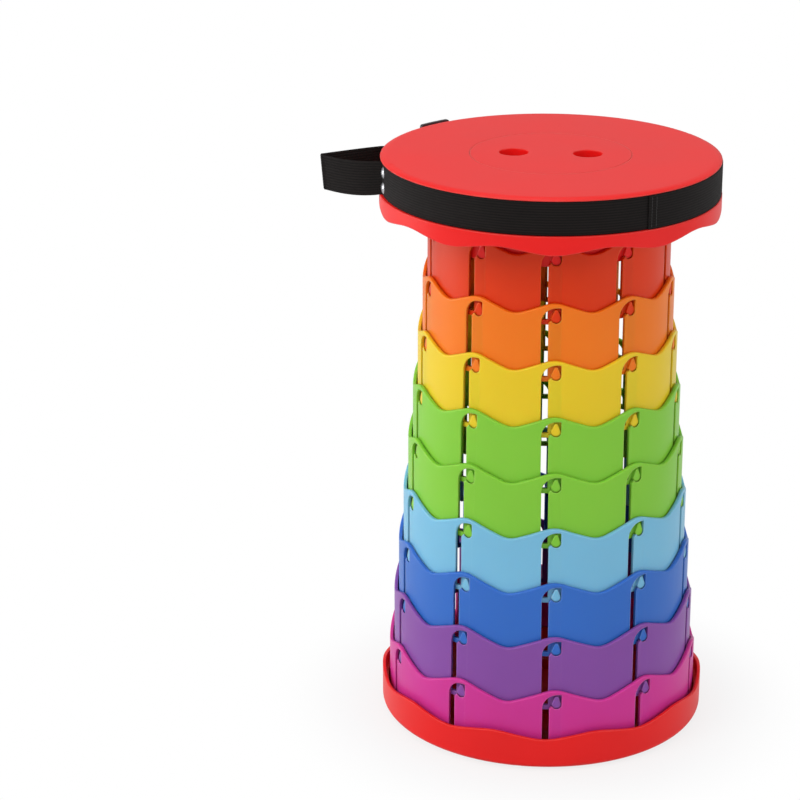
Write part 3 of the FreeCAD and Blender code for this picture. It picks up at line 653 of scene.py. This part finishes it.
# %% Floor
FLOOR_TONE = 0.7
SHADOW_REACH = 0.22
WHITE_NEAR = 0.8
MIRRORED = 0.5


def seen_white(tree):
    """How white a surface of the studio shows: 1 to the camera, less in reflections."""
    path = add_node(tree, "ShaderNodeLightPath")
    glossy, through = path.outputs["Is Glossy Ray"], path.outputs["Is Transmission Ray"]
    reflected = math_node(tree, "MAXIMUM", glossy, through)
    mirrored = math_node(tree, "MULTIPLY", reflected, MIRRORED)
    return math_node(tree, "MAXIMUM", path.outputs["Is Camera Ray"], mirrored)


def white_floor():
    """A lit floor near the stool, so that a soft shadow stays, which turns plain white further out."""
    material, tree, shader = new_material("studio_floor")
    shader.inputs["Base Color"].default_value = (FLOOR_TONE, FLOOR_TONE, FLOOR_TONE, 1)
    shader.inputs["Roughness"].default_value = 0.9
    shader.inputs["Specular IOR Level"].default_value = 0.1
    place = add_node(tree, "ShaderNodeTexCoord")
    distance = add_node(tree, "ShaderNodeVectorMath", operation="LENGTH")
    join(tree, place.outputs["Object"], distance.inputs[0])
    whiteness = add_node(tree, "ShaderNodeMapRange", interpolation_type="SMOOTHSTEP")
    whiteness.inputs["From Min"].default_value = SHADOW_REACH / 2
    whiteness.inputs["From Max"].default_value = SHADOW_REACH
    whiteness.inputs["To Min"].default_value = WHITE_NEAR
    join(tree, distance.outputs["Value"], whiteness.inputs["Value"])
    share = math_node(tree, "MULTIPLY", seen_white(tree), whiteness.outputs["Result"])
    glow = add_node(tree, "ShaderNodeEmission")
    glow.inputs["Strength"].default_value = 1.0
    mix = add_node(tree, "ShaderNodeMixShader")
    join(tree, share, mix.inputs[0])
    join(tree, shader.outputs[0], mix.inputs[1])
    join(tree, glow.outputs[0], mix.inputs[2])
    join(tree, mix.outputs[0], tree.nodes["Material Output"].inputs["Surface"])
    return material


FLOOR_HALF = 4.0
floor_mesh = bpy.data.meshes.new("floor")
floor_mesh.from_pydata([(-FLOOR_HALF, -FLOOR_HALF, 0), (FLOOR_HALF, -FLOOR_HALF, 0),
                        (FLOOR_HALF, FLOOR_HALF, 0), (-FLOOR_HALF, FLOOR_HALF, 0)], [], [(0, 1, 2, 3)])
floor = bpy.data.objects.new("floor", floor_mesh)
bpy.context.scene.collection.objects.link(floor)
dress(floor, white_floor())

# %% World
world = bpy.data.worlds.new("studio")
bpy.context.scene.world = world
world.use_nodes = True
sky = world.node_tree
AMBIENT = 0.5
level = math_node(sky, "MAXIMUM", seen_white(sky), AMBIENT)
background = sky.nodes["Background"]
background.inputs["Color"].default_value = (1, 1, 1, 1)
join(sky, level, background.inputs["Strength"])


# %% Lamps
AIM = Vector((0, 0, 0.22))


def lamp(name, place, size, power):
    """A square soft box at the place, facing the middle of the stool."""
    data = bpy.data.lights.new(name, "AREA")
    data.size = size
    data.energy = power
    box = bpy.data.objects.new(name, data)
    box.location = place
    box.rotation_euler = (AIM - Vector(place)).to_track_quat("-Z", "Y").to_euler()
    bpy.context.scene.collection.objects.link(box)


lamp("key", (-1.5, -1.3, 1.7), 1.2, 26)
lamp("side", (-1.8, 0.3, 0.35), 0.8, 8)
lamp("fill", (2.0, -1.0, 0.9), 1.4, 14)
lamp("top", (-0.2, 0.3, 2.4), 1.2, 11)

# %% [markdown]
# ## The camera
#
# The place and the lens were worked out from the photograph together with the stool's own
# sizes: it stands about 1.8 m in front, 0.9 m up, looks down by 20 degrees, and is turned a
# little to the left of the stool, which puts the stool right of the middle.

# %% Camera
CAMERA_PLACE = Vector((0, -1.7902, 0.9059))
PAN = -0.0617
PITCH = 0.3524
ROLL = -0.0021
FOCAL_PIXELS = 2517.8
FRAME_PIXELS = 800
SENSOR = 36.0

ahead = Vector((math.sin(PAN) * math.cos(PITCH), math.cos(PAN) * math.cos(PITCH), -math.sin(PITCH)))
level_right = Vector((math.cos(PAN), -math.sin(PAN), 0))
level_up = level_right.cross(ahead)
right = level_right * math.cos(ROLL) + level_up * math.sin(ROLL)
up = level_up * math.cos(ROLL) - level_right * math.sin(ROLL)

camera_data = bpy.data.cameras.new("camera")
camera_data.sensor_width = SENSOR
camera_data.lens = FOCAL_PIXELS * SENSOR / FRAME_PIXELS
camera = bpy.data.objects.new("camera", camera_data)
turn = Matrix((right, up, -ahead)).transposed().to_4x4()
camera.matrix_world = Matrix.Translation(CAMERA_PLACE) @ turn
bpy.context.scene.collection.objects.link(camera)
bpy.context.scene.camera = camera
bpy.context.scene.view_settings.view_transform = "Standard"
print("camera lens", round(camera_data.lens, 1), "mm")
